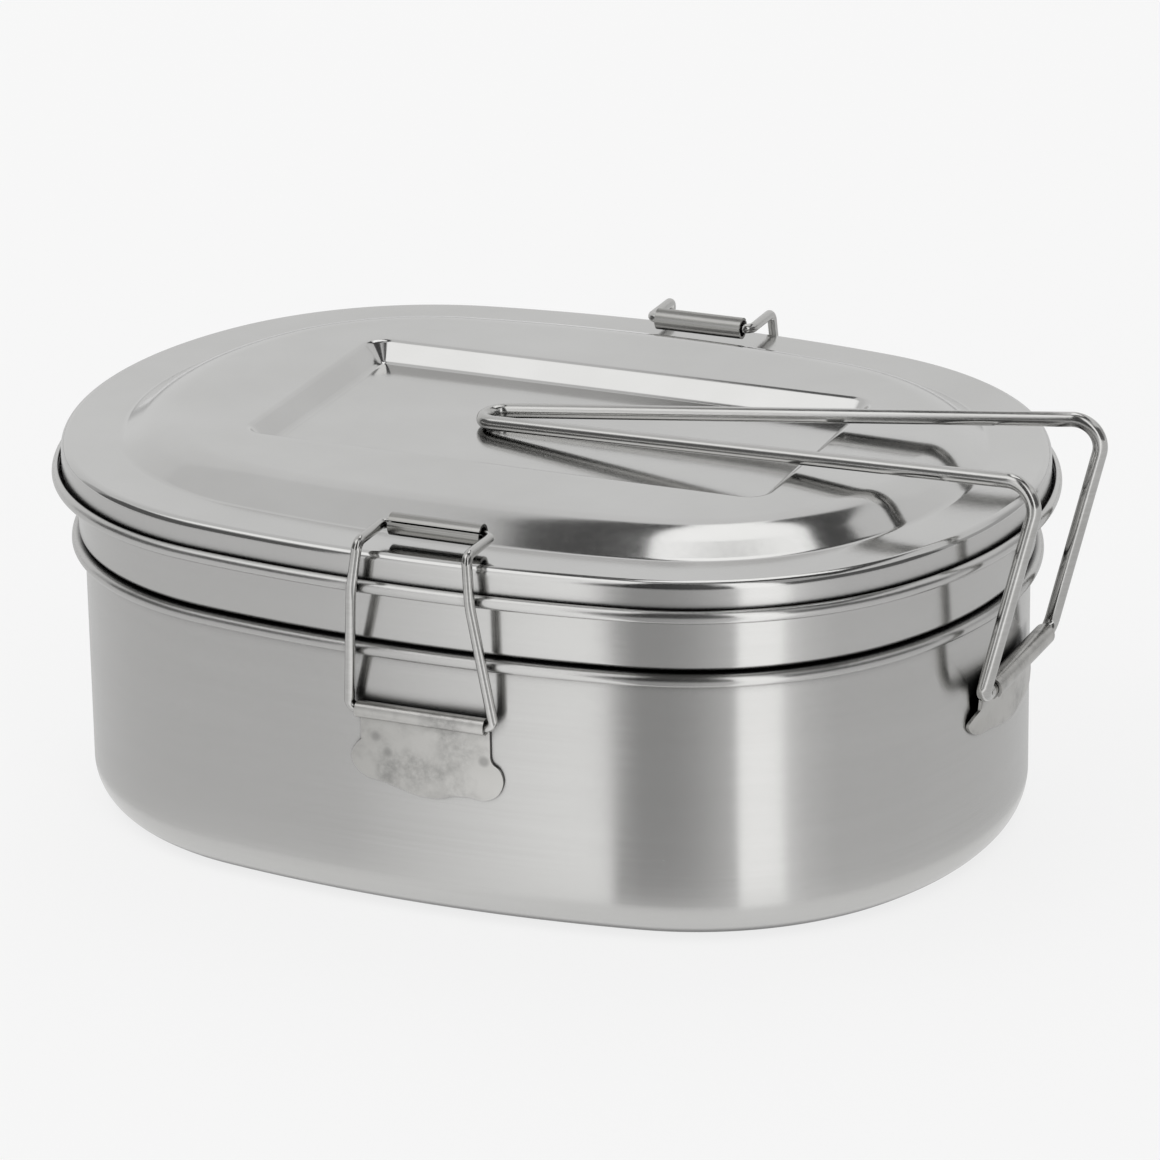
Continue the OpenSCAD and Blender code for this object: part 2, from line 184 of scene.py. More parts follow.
def oval_frames(n_quarter):
    """Anticlockwise list of (x, y, nx, ny) on the container's wall, starting at +X."""
    q = []
    for c, a, r in quarter(n_quarter):
        q.append((c[0] + r * math.cos(a), c[1] + r * math.sin(a), math.cos(a), math.sin(a)))
    full = list(q)
    full += [(-x, y, -nx, ny) for x, y, nx, ny in reversed(q[:-1])]
    full += [(-x, -y, -nx, -ny) for x, y, nx, ny in q[1:]]
    full += [(x, -y, nx, -ny) for x, y, nx, ny in reversed(q[1:-1])]
    return full


OVAL = oval_frames(90)


# ---------------------------------------------------------------- profile helpers
def rounded(points, radii, step=7.0):
    """2D polyline with its inner corners rounded."""
    out = [Vector(points[0])]
    for i in range(1, len(points) - 1):
        p, a, b = Vector(points[i]), Vector(points[i - 1]), Vector(points[i + 1])
        u, w = (p - a).normalized(), (b - p).normalized()
        turn = math.atan2(u.x * w.y - u.y * w.x, u.dot(w))
        r = radii[i - 1]
        if r <= 0 or abs(turn) < 1e-6:
            out.append(p)
            continue
        cut = r * math.tan(abs(turn) / 2)
        start = p - u * cut
        side = Vector((-u.y, u.x)) * (1 if turn > 0 else -1)
        c = start + side * r
        v = start - c
        n = max(2, int(math.degrees(abs(turn)) / step))
        for k in range(n + 1):
            t = turn * k / n
            out.append(c + Vector((v.x * math.cos(t) - v.y * math.sin(t),
                                   v.x * math.sin(t) + v.y * math.cos(t))))
    out.append(Vector(points[-1]))
    return out


def arc_points(c, r, a0, a1, n):
    """n + 1 points from a0 to a1 degrees."""
    angles = [math.radians(a0 + (a1 - a0) * k / n) for k in range(n + 1)]
    return [Vector((c[0] + r * math.cos(a), c[1] + r * math.sin(a))) for a in angles]


def cleaned(points, tol=1e-4):
    """The points without those that repeat the one before."""
    out = [points[0]]
    for p in points[1:]:
        if (p - out[-1]).length > tol:
            out.append(p)
    return out


def subdivided(points, longest):
    """The same polyline, in 2D or 3D, with no stretch over the longest."""
    out = [points[0]]
    for a, b in zip(points, points[1:]):
        n = max(1, math.ceil((b - a).length / longest))
        out += [a.lerp(b, k / n) for k in range(1, n + 1)]
    return out


def offset(points, t):
    """The polyline moved to its left by t."""
    out = []
    for i, p in enumerate(points):
        u = (p - points[i - 1]).normalized() if i else None
        w = (points[i + 1] - p).normalized() if i < len(points) - 1 else None
        u, w = u or w, w or u
        n = (Vector((-u.y, u.x)) + Vector((-w.y, w.x))).normalized()
        out.append(p + n * t / max(0.3, n.dot(Vector((-u.y, u.x)))))
    return out


def add_object(name, data):
    obj = bpy.data.objects.new(name, data)
    bpy.context.collection.objects.link(obj)
    return obj


def new_mesh(name, verts, faces, uv_name, uvs):
    """Mesh in metres, with one UV for each vertex."""
    mesh = bpy.data.meshes.new(name)
    mesh.from_pydata([tuple(v) for v in verts], [], faces)
    layer = mesh.uv_layers.new(name=uv_name)
    for loop in mesh.loops:
        layer.data[loop.index].uv = uvs[loop.vertex_index]
    return mesh


def finish_mesh(name, verts, faces, uvs):
    """Smooth object from vertices in millimetres; its UVs run along and across the brushing."""
    mesh = new_mesh(name, [tuple(c * MM for c in v) for v in verts], faces, "around", uvs)
    for p in mesh.polygons:
        p.use_smooth = True
    mesh.validate()
    return add_object(name, mesh)


def put_on(obj, material, nodes, body):
    """Puts the piece on its body, in place of the CAD nodes."""
    obj.data.materials.append(material)
    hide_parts(*nodes)
    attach(obj, body)
    return obj


class Build:
    """Vertices, faces and UVs of a mesh made of rings."""

    def __init__(self):
        self.v, self.f, self.uv = [], [], []

    def loop(self, points, v_coord):
        """Adds a closed ring of points and returns its first index."""
        start = len(self.v)
        length = 0.0
        for i, p in enumerate(points):
            if i:
                length += (Vector(p) - Vector(points[i - 1])).length
            self.v.append(tuple(p))
            self.uv.append((length * UV_SCALE, v_coord * UV_SCALE))
        return start

    def bridge(self, a, b, n, flip=False):
        """Joins the rings that start at a and b, of n points each."""
        for i in range(n):
            j = (i + 1) % n
            q = (a + i, a + j, b + j, b + i)
            self.f.append(q[::-1] if flip else q)

    def cap(self, a, n, flip=False):
        ring = list(range(a, a + n))
        self.f.append(ring[::-1] if flip else ring)

    def close(self, rings, n):
        """Joins the rings in turn and caps both ends."""
        for s, e in zip(rings, rings[1:]):
            self.bridge(s, e, n)
        self.cap(rings[0], n, flip=True)
        self.cap(rings[-1], n)

    def finish(self, name):
        return finish_mesh(name, self.v, self.f, self.uv)


def oval_ring(o, z):
    return [(x + nx * o, y + ny * o, z) for x, y, nx, ny in OVAL]


def pan(path, thickness, inner_loops=(), under_loops=()):
    """Pressed pan: path runs on the inside of the sheet from the rim's end to the floor, and the outside
    lies to its left, or to its right in a lid, where thickness is negative. inner_loops carry on from the
    path's end to the middle, under_loops from the other face's end."""
    b = Build()
    n = len(OVAL)
    lid = thickness < 0
    ends = []
    for side, loops, flip in ((path, inner_loops, lid), (offset(path, thickness), under_loops, not lid)):
        total, prev, starts = 0.0, None, []
        for p in side:
            if prev is not None:
                total += (p - prev).length
            prev = p
            starts.append(b.loop(oval_ring(p.x, p.y), total))
        ends.append(starts[0])
        for ring in loops:
            starts.append(b.loop(ring, total))
        for s, e in zip(starts, starts[1:]):
            b.bridge(s, e, n, flip=flip)
        b.cap(starts[-1], n, flip=flip)
    b.bridge(ends[1], ends[0], n, flip=lid)
    return b


# ---------------------------------------------------------------- container
def container_path():
    """On the inside of the sheet: curl end, rim, wall, floor; outside of the sheet to the left."""
    curl_c = (CONTAINER_RIM - BEAD_R, CONTAINER_H - BEAD_R)
    curl = arc_points(curl_c, BEAD_R, -152, 90, 34)
    wall = rounded(
        [(curl_c[0], CONTAINER_H), (-SHEET, CONTAINER_H), (-SHEET, SHEET), (FLOOR_EDGE, SHEET)],
        [RIM_BEND_R, BASE_R - SHEET], 6)
    return subdivided(cleaned(curl + wall), 6.0)


# ---------------------------------------------------------------- tray
def tray_path():
    """On the inside of the sheet: curl end, rim, wall, seat on the container, foot and floor; outside of
    the sheet to the left."""
    curl_c = (TRAY_RIM - BEAD_R, TRAY_TOP - BEAD_R)
    curl = arc_points(curl_c, BEAD_R, -130, 180, 40)
    inner = TRAY_OUT - SHEET
    foot = -SHEET - NEST_GAP - SHEET
    seat = TRAY_SEAT + SHEET
    wall = rounded(
        [(inner, curl_c[1]), (inner, seat), (foot, seat), (foot, TRAY_Z + SHEET),
         (FLOOR_EDGE, TRAY_Z + SHEET)],
        STEP_BENDS, 8)
    return subdivided(cleaned(curl + wall), 6.0)


# ---------------------------------------------------------------- lid
def lid_path():
    """On the inside of the sheet: hem, skirt, rim band, border and raised field; the outside of the
    sheet lies to its right."""
    hem_c = (HEM_OUT - BEAD_R, HEM_Z)
    curl = arc_points(hem_c, BEAD_R, 86, -180, 40)
    t = SHEET
    top = rounded(
        [(LID_IN, HEM_Z), (LID_IN, STACK_H), (BAND_IN - t * math.tan(SLOPE / 2), STACK_H - BAND_SAG),
         (BAND_IN - FIELD_H / math.tan(SLOPE), FIELD_TOP - t), (FIELD_EDGE, FIELD_TOP - t)],
        [RIM_BEND_R, FOOT_R, ROLL_R], 2.5)
    return subdivided(cleaned(curl + top), 4.0)


def rect_ring(grow, z, n):
    """n points round the panel's rounded rectangle, drawn out by grow, anticlockwise from +X."""
    hx, hy = PANEL_L / 2 + grow, PANEL_W / 2 + grow
    r = max(PANEL_R + grow, 0.4)
    up = arc = n // 4 * 3 // 10
    across = n // 4 - up - arc
    q = [(hx, (hy - r) * k / up) for k in range(up)]
    for k in range(arc):
        a = math.pi / 2 * k / arc
        q.append((hx - r + r * math.cos(a), hy - r + r * math.sin(a)))
    q += [((hx - r) * (1 - k / across), hy) for k in range(across + 1)]
    full = list(q)
    full += [(-x, y) for x, y in reversed(q[:-1])]
    full += [(-x, -y) for x, y in q[1:]]
    full += [(x, -y) for x, y in reversed(q[1:-1])]
    return [(PANEL_X + x, y, z) for x, y in full]


def panel_profile(t):
    """(grow, z) from the field down to the panel's floor, on the face t below the top."""
    steep = math.atan2(PANEL_D, PANEL_WALL)
    g = t * math.tan(steep / 2)
    pts = rounded(
        [(PANEL_EDGE, FIELD_TOP - t), (g, FIELD_TOP - t), (g - PANEL_WALL, FIELD_TOP - PANEL_D - t),
         (-PANEL_WALL - PANEL_END, FIELD_TOP - PANEL_D - t)],
        [PANEL_BEND_R - t, PANEL_BEND_R + t], 5)
    return [(p.x, p.y) for p in cleaned(pts)]


# ---------------------------------------------------------------- wires
def bent(points, radii, step=5.0):
    """3D polyline with its inner corners bent to the radii."""
    out = [Vector(points[0])]
    for i in range(1, len(points) - 1):
        p, a, b = Vector(points[i]), Vector(points[i - 1]), Vector(points[i + 1])
        u, w = (p - a).normalized(), (b - p).normalized()
        turn = u.angle(w)
        r = radii[i - 1]
        cut = r * math.tan(turn / 2)
        side = (w - u * u.dot(w)).normalized()
        start = p - u * cut
        c = start + side * r
        n = max(3, int(math.degrees(turn) / step))
        for k in range(n + 1):
            t = turn * k / n
            out.append(c - side * r * math.cos(t) + u * r * math.sin(t))
    out.append(Vector(points[-1]))
    return out


def tube(name, path, radius, sides=28, end_round=0.5):
    """Round wire along the path, with softly rounded ends."""
    b = Build()
    pts = cleaned(path, 1e-3)
    dirs = [(pts[min(len(pts) - 1, i + 1)] - pts[max(0, i - 1)]).normalized() for i in range(len(pts))]
    side = dirs[0].orthogonal().normalized()
    stations = []
    for i, (p, d) in enumerate(zip(pts, dirs)):
        if i:
            side = (dirs[i - 1].rotation_difference(d) @ side).normalized()
        side = (side - d * side.dot(d)).normalized()
        stations.append((p, d, side.copy(), radius))
    caps = [(math.sin(math.radians(a)), math.cos(math.radians(a))) for a in (75, 50, 25)]

    def rounded_end(station, way, steps):
        p, d, s, r = station
        return [(p + d * way * end_round * sin, d, s, r - end_round * (1 - cos)) for sin, cos in steps]

    head = rounded_end(stations[0], -1, caps)
    tail = rounded_end(stations[-1], 1, caps[::-1])
    total, prev, rings = 0.0, None, []
    for p, d, s, r in head + stations + tail:
        up = d.cross(s)
        if prev is not None:
            total += (p - prev).length
        prev = p
        turns = [2 * math.pi * k / sides for k in range(sides)]
        rings.append(b.loop([p + (s * math.cos(a) + up * math.sin(a)) * r for a in turns], total))
    b.close(rings, sides)
    return b.finish(name)


# ---------------------------------------------------------------- sheet parts by profile along a line
def extruded(profile, length, place, n=24):
    """Closed 2D profile carried along X from -length / 2 to length / 2, then placed by the matrix."""
    b = Build()
    rows = []
    for i in range(n + 1):
        x = length * (i / n - 0.5)
        rows.append(b.loop([place @ Vector((x, p[0], p[1])) for p in profile], x))
    b.close(rows, len(profile))
    return b


def ring_profile(r_out, r_in, gap_deg, turn_deg, n=40):
    """Open ring in 2D, with its slot centred at turn_deg."""
    a0, a1 = turn_deg + gap_deg / 2, turn_deg + 360 - gap_deg / 2
    outer = arc_points((0, 0), r_out, a0, a1, n)
    inner = arc_points((0, 0), r_in, a1, a0, n)
    return outer + inner


def spline(points, steps=6):
    """Smooth curve through the points, straight at its two ends."""
    pts = [Vector(p) for p in points]
    out = []
    for i in range(len(pts) - 1):
        p0, p1, p2, p3 = pts[max(0, i - 1)], pts[i], pts[i + 1], pts[min(len(pts) - 1, i + 2)]
        for k in range(steps):
            t = k / steps
            out.append(0.5 * ((2 * p1) + (p2 - p0) * t + (2 * p0 - 5 * p1 + 4 * p2 - p3) * t * t
                              + (3 * p1 - p0 - 3 * p2 + p3) * t ** 3))
    out.append(pts[-1])
    return out


def bracket_outline(w, drop=1.0):
    """Outline of a bracket's plate in (s, z) about its pivot: a neck over a softly lobed lower edge,
    drawn for a barrel LOBE_SPAN long, then scaled to the width w and in depth by drop."""
    lobes = [
        (12.6, -6.6), (13.0, -7.7), (14.4, -8.9), (15.0, -11.2), (13.9, -13.7), (11.4, -15.0), (8.6, -14.7),
        (5.6, -14.9), (2.2, -15.8), (-1.5, -15.7), (-5.2, -14.8), (-8.4, -14.0), (-11.4, -13.6),
        (-13.7, -12.2), (-14.7, -9.8), (-13.8, -7.7), (-12.6, -6.4),
    ]
    k = w / LOBE_SPAN
    edge = [(p.x * k, p.y * drop) for p in spline(lobes)]
    return [(-w / 2, NECK_TOP)] + edge[::-1] + [(w / 2, NECK_TOP)]


def plate(outline, surface, spacing=1.2):
    """Vertices and faces of a bracket's sheet, cut to the outline and laid on surface(s, z, out)."""
    outline = [Vector(p) for p in outline]
    n = len(outline)
    lo = Vector((min(p.x for p in outline), min(p.y for p in outline)))
    hi = Vector((max(p.x for p in outline), max(p.y for p in outline)))

    def inside(x, y):
        hit = False
        for i in range(n):
            a, b = outline[i], outline[(i + 1) % n]
            if (a.y > y) != (b.y > y) and x < (b.x - a.x) * (y - a.y) / (b.y - a.y) + a.x:
                hit = not hit
        return hit

    grid = []
    y = lo.y + spacing / 2
    while y < hi.y:
        x = lo.x + spacing / 2
        while x < hi.x:
            if inside(x, y) and min((Vector((x, y)) - p).length for p in outline) > spacing * 0.5:
                grid.append(Vector((x, y)))
            x += spacing
        y += spacing
    rim = [(i, (i + 1) % n) for i in range(n)]
    pts, _, tris, *_ = delaunay_2d_cdt(outline + grid, rim, [list(range(n))], 1, 1e-5)
    edges = dict.fromkeys((a, b) for t in tris for a, b in zip(t, [*t[1:], t[0]]))
    m = len(pts)
    verts = [surface(p.x, p.y, out) for out in (BRACKET_T, 0.0) for p in pts]
    faces = [tuple(t) for t in tris]
    faces += [tuple(i + m for i in reversed(t)) for t in tris]
    faces += [(b, a, a + m, b + m) for a, b in edges if (b, a) not in edges]
    return verts, faces


def joined(name, parts):
    """One object of several (vertices, faces), with its UVs on X and Z."""
    v, f = [], []
    for verts, faces in parts:
        base = len(v)
        v += [tuple(p) for p in verts]
        f += [tuple(i + base for i in q) for q in faces]
    return finish_mesh(name, v, f, [(p[0] * UV_SCALE, p[2] * UV_SCALE) for p in v])


def sharpen(obj, degrees=35):
    """Flat shading across edges sharper than the angle."""
    mesh = obj.data
    bm = bmesh.new()
    bm.from_mesh(mesh)
    for e in bm.edges:
        if len(e.link_faces) == 2 and e.calc_face_angle(0) > math.radians(degrees):
            e.smooth = False
    bm.to_mesh(mesh)
    bm.free()
    return obj


# ---------------------------------------------------------------- materials
class Nodes:
    """Node tree of a new material, with one shader on its output."""

    def __init__(self, name, kind="ShaderNodeBsdfPrincipled"):
        self.mat = bpy.data.materials.new(name)
        self.mat.use_nodes = True
        self.tree = self.mat.node_tree
        self.tree.nodes.clear()
        self.out = self.new("ShaderNodeOutputMaterial")
        self.shader = self.new(kind)
        self.link(self.shader.outputs[0], self.out.inputs[0])

    def new(self, kind, **props):
        node = self.tree.nodes.new(kind)
        for k, v in props.items():
            setattr(node, k, v)
        return node

    def link(self, a, b):
        self.tree.links.new(a, b)

    def noise(self, scale, detail, rough):
        """Noise on the object's own coordinates, with its scale along X, Y and Z per metre."""
        tc = self.new("ShaderNodeTexCoord")
        mp = self.new("ShaderNodeMapping")
        mp.inputs["Scale"].default_value = scale
        self.link(tc.outputs["Object"], mp.inputs[0])
        n = self.new("ShaderNodeTexNoise")
        n.inputs["Scale"].default_value = 1.0
        n.inputs["Detail"].default_value = detail
        n.inputs["Roughness"].default_value = rough
        self.link(mp.outputs[0], n.inputs["Vector"])
        return n.outputs[0]

    def ramp(self, value, lo, hi, a, b):
        """Value from lo to hi carried to a to b, and held outside."""
        r = self.new("ShaderNodeMapRange")
        r.inputs["From Min"].default_value = lo
        r.inputs["From Max"].default_value = hi
        r.inputs["To Min"].default_value = a
        r.inputs["To Max"].default_value = b
        self.link(value, r.inputs["Value"])
        return r.outputs[0]

    def maths(self, op, a, b):
        m = self.new("ShaderNodeMath", operation=op)
        for i, v in enumerate((a, b)):
            if isinstance(v, (int, float)):
                m.inputs[i].default_value = v
            else:
                self.link(v, m.inputs[i])
        return m.outputs[0]

    def mix(self, value, a, b):
        """Mix of two colours, each a tuple or a socket."""
        mix = self.new("ShaderNodeMix", data_type="RGBA")
        for key, colour in (("A", a), ("B", b)):
            if isinstance(colour, tuple):
                mix.inputs[key].default_value = (*colour, 1)
            else:
                self.link(colour, mix.inputs[key])
        self.link(value, mix.inputs["Factor"])
        return mix.outputs["Result"]

    def bump(self, height, strength, distance):
        b = self.new("ShaderNodeBump")
        b.inputs["Strength"].default_value = strength
        b.inputs["Distance"].default_value = distance
        self.link(height, b.inputs["Height"])
        self.link(b.outputs[0], self.shader.inputs["Normal"])


def darker(colour, share):
    return tuple(c * share for c in colour)


def metal(name, colour, rough, brush=0.0, aniso=0.0, grain=0.0, crevice_shade=0.0, contrast=0.1, welds=()):
    """Stainless steel: brush is the strength of the fine lines, aniso stretches reflections across them,
    grain adds stains, crevice paints shade into the corners as a darker base colour where ambient occlusion
    finds them, and welds are dark spots at points in millimetres."""
    n = Nodes(name)
    steel = n.shader.inputs
    steel["Metallic"].default_value = 1.0
    steel["Anisotropic"].default_value = aniso
    steel["Anisotropic Rotation"].default_value = 0.25
    lines = n.noise((6, 6, 2200), 3.0, 0.6)
    bands = n.noise((14, 14, 160), 4.0, 0.6)
    patches = n.noise((22, 22, 34), 4.0, 0.6)
    fine = n.noise((900, 900, 900), 2.0, 0.5)

    # Colour
    brushed = n.maths("ADD", *(n.ramp(v, 0.3, 0.7, 0.0, 0.3 * brush) for v in (lines, bands)))
    shade = n.maths("ADD", brushed, n.ramp(patches, 0.3, 0.7, 0.0, 1 - 0.6 * brush))
    dark = tuple(c * (1 - k * contrast) for c, k in zip(colour, (1, 1.01, 1.06)))
    tone = n.mix(shade, dark, colour)
    if grain:
        spots = n.ramp(n.noise((420, 420, 420), 5.0, 0.7), 0.35, 0.65, 0.0, 1.0)
        stain = n.ramp(n.noise((110, 110, 110), 3.0, 0.6), 0.4, 0.62, 0.0, 1.0)
        both = n.maths("MULTIPLY", spots, stain)
        tone = n.mix(n.maths("MULTIPLY", both, grain), tone, darker(colour, 0.45))
    for weld in welds:
        far = n.new("ShaderNodeVectorMath", operation="DISTANCE")
        tc = n.new("ShaderNodeTexCoord")
        n.link(tc.outputs["Object"], far.inputs[0])
        far.inputs[1].default_value = [c * MM for c in weld]
        spot = n.ramp(far.outputs["Value"], 0.6 * MM, 1.3 * MM, 0.75, 0.0)
        tone = n.mix(spot, tone, darker(colour, 0.5))
    # Painted shade: corners and crevices that ambient occlusion finds get a darker base colour
    if crevice_shade:
        ao = n.new("ShaderNodeAmbientOcclusion", samples=6)
        ao.inputs["Distance"].default_value = 3 * MM
        tone = n.mix(n.ramp(ao.outputs["AO"], 0.4, 0.8, crevice_shade, 0.0), tone, darker(colour, 0.08))
    n.link(tone, steel["Base Color"])

    # Roughness and relief
    worn = n.ramp(patches, 0.35, 0.7, rough * 0.92, rough * 1.1)
    worn = n.maths("ADD", worn, n.ramp(lines, 0.3, 0.7, 0.0, 0.04 * brush))
    worn = n.maths("ADD", worn, n.ramp(fine, 0.3, 0.7, -0.01, 0.01))
    n.link(worn, steel["Roughness"])
    if aniso:
        tangent = n.new("ShaderNodeTangent", direction_type="UV_MAP", uv_map="around")
        n.link(tangent.outputs[0], steel["Tangent"])
    if brush:
        n.bump(lines, 0.2 * brush, 0.02 * MM)
    elif grain:
        n.bump(fine, 0.25 * grain, 0.04 * MM)
    return n.mat


WELD_Y = 66.6
WELDS = [(CLIP_X + 11.4, 32.6), (CLIP_X - 7.4, 31.8), (CLIP_X - 9.7, 34.6)]
WALL = metal("wall_steel", (0.60, 0.597, 0.588), 0.21, brush=1.0, aniso=0.95, crevice_shade=0.95)
TRAY_METAL = metal("tray_steel", (0.62, 0.617, 0.608), 0.19, brush=0.8, aniso=0.95, crevice_shade=0.95)
LID_METAL = metal("lid_steel", (0.64, 0.638, 0.63), 0.12, brush=0.1)
SKIRT_METAL = metal("skirt_steel", (0.63, 0.627, 0.618), 0.2, brush=0.8, aniso=0.9, crevice_shade=0.95)
WIRE = metal("wire_steel", (0.64, 0.637, 0.628), 0.14, brush=0.9, crevice_shade=0.8, contrast=0.3)
ROLLER = metal("roller_steel", (0.52, 0.517, 0.508), 0.2, brush=1.5, crevice_shade=0.8, contrast=0.6)
BRACKET = metal("bracket_steel", (0.62, 0.613, 0.595), 0.3, grain=0.7, crevice_shade=0.9, contrast=0.2,
                welds=[(x, side * WELD_Y, z) for x, z in WELDS for side in (-1, 1)])
# Near-black painted shade for the barrel's bore and the plate's back
BRACKET_SHADE = metal("bracket_painted_shade", (0.05, 0.048, 0.045), 0.5, grain=0.3)

# ---------------------------------------------------------------- pieces
put_on(pan(container_path(), SHEET).finish("container_pan"), WALL, ["container"], "box")
put_on(pan(tray_path(), SHEET).finish("tray_pan"), TRAY_METAL, ["tray"], "tray")

under, over = ([rect_ring(g, z, len(OVAL)) for g, z in panel_profile(t)] for t in (SHEET, 0.0))
lid = put_on(pan(lid_path(), -SHEET, under, over).finish("lid_pan"), LID_METAL, ["lid"], "lid")
lid.data.materials.append(SKIRT_METAL)
for face in lid.data.polygons:
    if face.center.z < (LID_TOP - SKIRT_BELOW) * MM:
        face.material_index = 1


def bracket(name, sheet, radius, length, turn, place, hidden=lambda c, n: False):
    """Plate and slotted barrel in one piece; the barrel's bore is painted near-black as shade, and so are
    the faces whose centre and normal the test picks."""
    barrel = extruded(ring_profile(radius, radius - BRACKET_T, BARREL_SLOT, turn), length, place)
    obj = joined(name + "_plate", [sheet, (barrel.v, barrel.f)])
    put_on(sharpen(obj), BRACKET, [name], "box")
    obj.data.materials.append(BRACKET_SHADE)
    pivot, axis = place.translation, place.col[0].xyz
    for face in obj.data.polygons:
        centre, normal = face.center / MM, face.normal
        off = centre - pivot
        depth = radius - (off - axis * off.dot(axis)).length
        # Painted shade: faces deep in the bore, and those the test picks, take the near-black material
        if depth > BARREL_SHADE_DEPTH and abs(normal.dot(axis)) < 0.5 or hidden(centre, normal):
            face.material_index = 1


def clip(side, name):
    """Wire frame, roller and bracket; side is -1 at the front and 1 at the back."""
    hem_leg = HALF_W + HEM_OUT + CLIP_LEG_GAP + CLIP_D / 2
    share = (HEM_Z - CLIP_Z) / (ROLLER_Z - CLIP_Z)
    hem_span = CLIP_FOOT + (CLIP_TOP - CLIP_FOOT) * share

    def leg(k):
        top_x = k * CLIP_TOP / 2 + CLIP_LEAN_X
        return [
            (k * (CLIP_BARREL / 2 - CLIP_PIN), CLIP_Y, CLIP_Z), (k * CLIP_FOOT / 2, CLIP_Y, CLIP_Z),
            (k * hem_span / 2 + CLIP_LEAN_X * share, hem_leg, HEM_Z),
            (top_x, hem_leg - CLIP_TUCK, ROLLER_Z), (top_x, ROLLER_Y, ROLLER_Z),
        ]

    pts = [(CLIP_X + x, side * y, z) for x, y, z in leg(-1) + leg(1)[::-1]]
    path = subdivided(bent(pts, CLIP_BENDS), 4.0)
    put_on(tube(name + "_wire_round", path, CLIP_D / 2), WIRE, [name + "_wire"], name)

    place = Matrix.Translation((ROLLER_X, side * ROLLER_Y, ROLLER_Z))
    section = ring_profile(ROLLER_R, ROLLER_R - ROLLER_WALL, ROLLER_SLOT, 150 if side < 0 else 30)
    obj = extruded(section, ROLLER_LEN, place).finish(name + "_roller_tube")
    put_on(sharpen(obj), ROLLER, [name + "_roller"], name.replace("clip", "roller"))

    def on_wall(s, z, out):
        x = CLIP_X + s
        r = SIDE_R + WELD_GAP + out
        y = SIDE_C[1] + math.sqrt(r * r - x * x)
        return (x, side * y, CLIP_Z + z)

    outline = bracket_outline(CLIP_BARREL)
    if side > 0:
        outline = [(-x, z) for x, z in reversed(outline)]
    verts, faces = plate(outline, on_wall)
    if side > 0:
        faces = [f[::-1] for f in faces]
    place = Matrix.Translation((CLIP_X, side * CLIP_Y, CLIP_Z))
    bracket(name + "_bracket", (verts, faces), CLIP_BARREL_R, CLIP_BARREL, -60 if side > 0 else 240, place)


clip(-1, "front_clip")
clip(1, "back_clip")


def handle():
    """Wire from the +X end over the lid to its tip in the panel, and its bracket."""
    half_top = HANDLE_TOP / 2
    shoulder = (HANDLE_X + HANDLE_LEAN, half_top, FIELD_TOP + HANDLE_OVER)
    tip_z = FIELD_TOP - PANEL_D + HANDLE_TIP_GAP + HANDLE_D / 2
    # The wire's sides are tangents of the tip's bend, and would meet at run from the shoulders
    tip_c = HANDLE_REACH - HANDLE_TIP_R
    tip_a = math.acos(HANDLE_TIP_R / math.hypot(half_top, tip_c)) - math.atan2(tip_c, half_top)
    run = half_top / math.tan(tip_a)
    drop = (shoulder[2] - tip_z) * run / HANDLE_REACH

    def leg(k):
        return [
            (HANDLE_X, k * (HANDLE_BARREL / 2 - HANDLE_PIN), HANDLE_Z),
            (HANDLE_X, k * HANDLE_FOOT / 2 - HANDLE_SKEW, HANDLE_Z),
            (shoulder[0], k * half_top, shoulder[2]),
        ]

    pts = leg(-1) + [(shoulder[0] - run, 0, shoulder[2] - drop)] + leg(1)[::-1]
    path = subdivided(bent(pts, HANDLE_BENDS), 5.0)
    put_on(tube("handle_wire_round", path, HANDLE_D / 2, 32), WIRE, ["handle_wire"], "handle")

    def on_end(s, z, out):
        """Flat under the barrel, and bent back onto the wall's curve at the lobes."""
        t = min(1.0, max(0.0, (-HANDLE_PLATE_FLAT - z) / HANDLE_PLATE_TURN))
        t = t * t * (3 - 2 * t)
        r = END_R + WELD_GAP + out
        curved = END_C[0] + math.sqrt(r * r - s * s)
        return ((HALF_L + WELD_GAP + out) * (1 - t) + curved * t, s, HANDLE_Z + z)

    sheet = plate(bracket_outline(HANDLE_BARREL, HANDLE_LOBE_DROP), on_end)
    place = Matrix.Translation((HANDLE_X, 0, HANDLE_Z)) @ Matrix.Rotation(math.pi / 2, 4, "Z")
    # The plate's back below the pivot is painted near-black as shade
    bracket("handle_bracket", sheet, HANDLE_BARREL_R, HANDLE_BARREL, 240, place,
            lambda c, n: n.x < -0.6 and c.z < HANDLE_Z - 0.5)


handle()

# ---------------------------------------------------------------- studio, in metres
VIEW_AZ = -66.5


def towards(az, el, dist):
    a, e = math.radians(az), math.radians(el)
    return Vector((math.cos(a) * math.cos(e), math.sin(a) * math.cos(e), math.sin(e))) * dist


def glow(name, uv_name):
    """Emission material and the first coordinate of its UV map."""
    n = Nodes(name + "_mat", "ShaderNodeEmission")
    uv = n.new("ShaderNodeUVMap", uv_map=uv_name)
    sep = n.new("ShaderNodeSeparateXYZ")
    n.link(uv.outputs[0], sep.inputs[0])
    return n, sep.outputs[0]


def add_card(name, mesh, material, lights):
    """Object hidden from the camera and from shadows; lights says whether it lights matt surfaces."""
    mesh.materials.append(material)
    obj = add_object(name, mesh)
    obj.visible_camera = False
    obj.visible_shadow = False
    obj.visible_diffuse = lights


